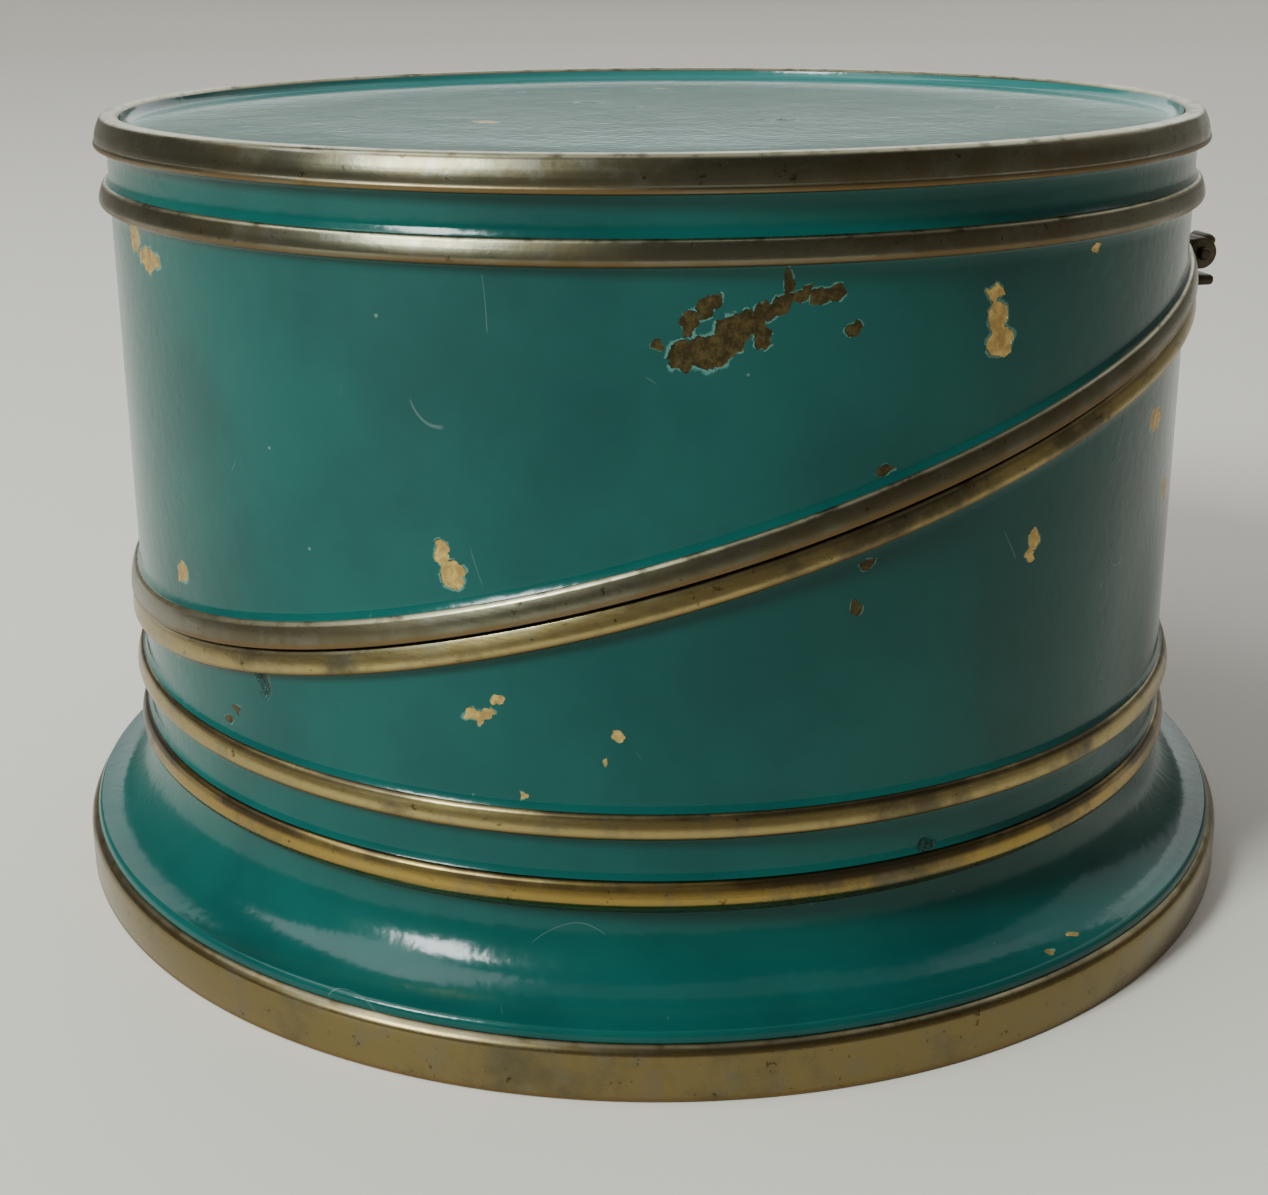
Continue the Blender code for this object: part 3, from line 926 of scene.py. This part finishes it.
body_gold = [
    (-27.7, 27.5, 2.1, 1.2, 0),
    (-26.6, 27.9, 1.2, 0.9, 20),
    (-25.6, 29.0, 0.8, 0.7, 0),
    (24.9, 38.6, 1.4, 1.5, 0),
    (24.4, 37.4, 1.3, 1.1, 0),
    (-15.0, 26.6, 0.65, 0.55, 0),
    (-16.3, 24.5, 0.4, 0.35, 0),
    (-23.5, 21.5, 1.0, 0.7, 0),
    (46.9, 44.5, 3.0, 2.1, 0),
    (53.3, 37.1, 2.4, 2.2, 0),
    (150.0, 33.0, 1.8, 1.3, 30),
    (-155.0, 25.0, 1.5, 1.0, 0),
]
body_brown = [
    (6.7, 39.1, 1.3, 1.0, 30),
    (5.8, 35.8, 0.8, 0.9, 0),
    (-56.0, 23.2, 1.2, 0.8, 0),
    (-57.4, 21.8, 1.2, 0.7, 0),
    (95.0, 28.0, 2.2, 1.4, 0),
]
body_stains = [(-51.4, 26.6, 1.6, 3.0, 10), (13.7, 15.4, 2.0, 1.2, 0), (-171.0, 30.0, 1.5, 2.5, 0)]
enamel_lid = enamel("enamel_lid", lid_gold, lid_brown, bare_inside=INNER_R)
enamel_body = enamel("enamel_body", body_gold, body_brown, body_stains, bare_inside=INNER_R)
foot_gold = [(24.5, 5.6, 1.1, 1.0, 0, 53.2 * MM, 0.8), (28.0, 5.8, 0.8, 0.8, 0, 52.6 * MM, 0.6)]
enamel_foot = enamel("enamel_foot", foot_gold)
top_z = high("lid_panel") / MM
top_gold = [(-64.5, top_z, 3.2, 1.2, 0, 17.9 * MM, 1.8), (165.0, top_z, 1.6, 1.2, 0, 30 * MM, 1.0)]
top_stains = [
    (-161.1, top_z, 4.0, 1.2, 0, 28.4 * MM, 2.6),
    (-162.5, top_z, 3.0, 1.2, 0, 11.3 * MM, 2.4),
    (-166.0, top_z, 2.6, 1.2, 0, 3.7 * MM, 1.8),
    (35.2, top_z, 2.6, 1.2, 0, 16.1 * MM, 1.8),
    (80.0, top_z, 1.6, 1.2, 0, 33.0 * MM, 1.4),
]
# The lid's top gets painted light: its enamel is paled all over to stand in for light from above.
under_top = high("lid_panel") - 0.35 * MM
enamel_top = enamel(
    "enamel_top", top_gold, (), top_stains, dusty=0.45, rough=(0.13, 0.15), painted_top_light=0.55, bare_below=under_top
)
print("four enamels,", len(lid_brown + lid_gold + body_gold + body_brown), "flakes")

# %% [markdown]
# The liner is sheet dipped in tin: pale, dull, and faintly cloudy, with a few fine rubs. The finishes
# then go on. Whatever has none of its own, such as the rivets and the pin, gets the hinge's dark brass.
# The floor of the drum needs no finer shape than its solid, so that solid is finished in place.

# %% Mix the tin


TIN_DIM = (0.50, 0.49, 0.46, 1)
TIN_PALE = (0.66, 0.65, 0.62, 1)
TIN_SPOT = (0.20, 0.17, 0.13, 1)


def tinned():
    material, place, shader = start_material("tin_dull")
    clouds = place.noise(60, 5, 0.6)
    paint = clouds.rise(0.35, 0.7).tint(TIN_DIM, TIN_PALE)
    paint = (place.noise(500, 4, 0.7).rise(0.6, 0.72) * 0.5).tint(paint, TIN_SPOT)
    rub = place.stretch(30, 30, 1800).noise(1.0, 2)
    feed(shader, {"Base Color": paint, "Metallic": 1.0, "Roughness": clouds * 0.2 + rub * 0.12 + 0.22})
    feed(shader, {"Normal": bump(place, clouds * 0.6 + rub * 0.2, 0.04 * MM)})
    return material


tin = tinned()

# %% Give each piece its finish
finishes = {
    "foot_band_trim": brass_band,
    "foot_skirt_enamel": enamel_foot,
    "foot_plate_disc": brass_band,
    "neck_ring_trim": brass_neck,
    "waist_wire": brass_waist,
    "shoulder_wire": brass_shoulder,
    "body_edge_wire": brass_body_edge,
    "lid_edge_wire": brass_lid_edge,
    "body_wall": enamel_body,
    "lid_wall": enamel_lid,
    "lid_rim_trim": brass_rim,
    "lid_panel_disc": enamel_top,
    "tea_liner_cup": tin,
}
for name, piece in pieces.items():
    piece.data.materials.clear()
    piece.data.materials.append(finishes.get(name, brass_dark))
floor_solid = frame["nodes"]["drum_floor"]
floor_solid.data.materials.clear()
floor_solid.data.materials.append(brass_band)
print("finished", len(pieces), "pieces")

# %% [markdown]
# The stage is a plain pale floor that curves up into a round wall, under soft light. A window stands to
# the left of the camera. A glossy drum shows its lights as upright streaks, and one clear streak tells
# the eye that the surface is round. A broad panel high on the left lights that side. Dimmer ones overhead
# and on the right keep the shadows soft, and one behind gives the lid's top a wall to mirror.

# %% Build the stage and the lights
cove = outline([(0, 0, 0), (2.6, 0, 0.9), (2.6, 2.4, 0)], closed=False)
spin_full(cove, steps=96)
bmesh.ops.reverse_faces(cove, faces=cove.faces[:])
floor_mesh = bpy.data.meshes.new("floor")
cove.to_mesh(floor_mesh)
cove.free()
floor_mesh.shade_smooth()
floor = bpy.data.objects.new("floor", floor_mesh)
bpy.context.scene.collection.objects.link(floor)
floor_material = bpy.data.materials.new("pale_floor")
floor_material.use_nodes = True
floor_shader = floor_material.node_tree.nodes["Principled BSDF"]
feed(floor_shader, {"Base Color": (0.60, 0.56, 0.50, 1), "Roughness": 0.65})
floor.data.materials.append(floor_material)


def panel(name, azimuth, elevation, distance, size, power, color=(1, 1, 1)):
    """A rectangular soft light that faces the caddy."""
    light = bpy.data.lights.new(name, "AREA")
    light.shape = "RECTANGLE"
    light.size, light.size_y = size
    light.energy = power
    light.color = color
    lamp = bpy.data.objects.new(name, light)
    bpy.context.scene.collection.objects.link(lamp)
    side, up = math.radians(azimuth), math.radians(elevation)
    away = Vector((math.cos(side) * math.cos(up), math.sin(side) * math.cos(up), math.sin(up)))
    middle = Vector((0, 0, 0.04))
    lamp.location = middle + away * distance
    lamp.rotation_euler = away.to_track_quat("Z", "Y").to_euler()
    return lamp


panel("window", -60, 36, 1.0, (0.22, 0.32), 15, (0.90, 1, 0.96))
panel("high_left", -98, 56, 1.3, (0.8, 0.7), 8.0, (0.96, 0.98, 1))
panel("ceiling", 150, 80, 1.6, (1.8, 1.8), 5)
panel("right_wall", 112, 42, 1.8, (1.4, 1.2), 4, (0.94, 0.98, 1))
panel("far_wall", 168, 25, 2.0, (2.4, 1.2), 14, (0.93, 1, 0.99))
world = bpy.data.worlds.new("room")
bpy.context.scene.world = world
world.use_nodes = True
world.node_tree.nodes["Background"].inputs["Color"].default_value = (0.80, 0.82, 0.85, 1)
world.node_tree.nodes["Background"].inputs["Strength"].default_value = 0.12

# %% [markdown]
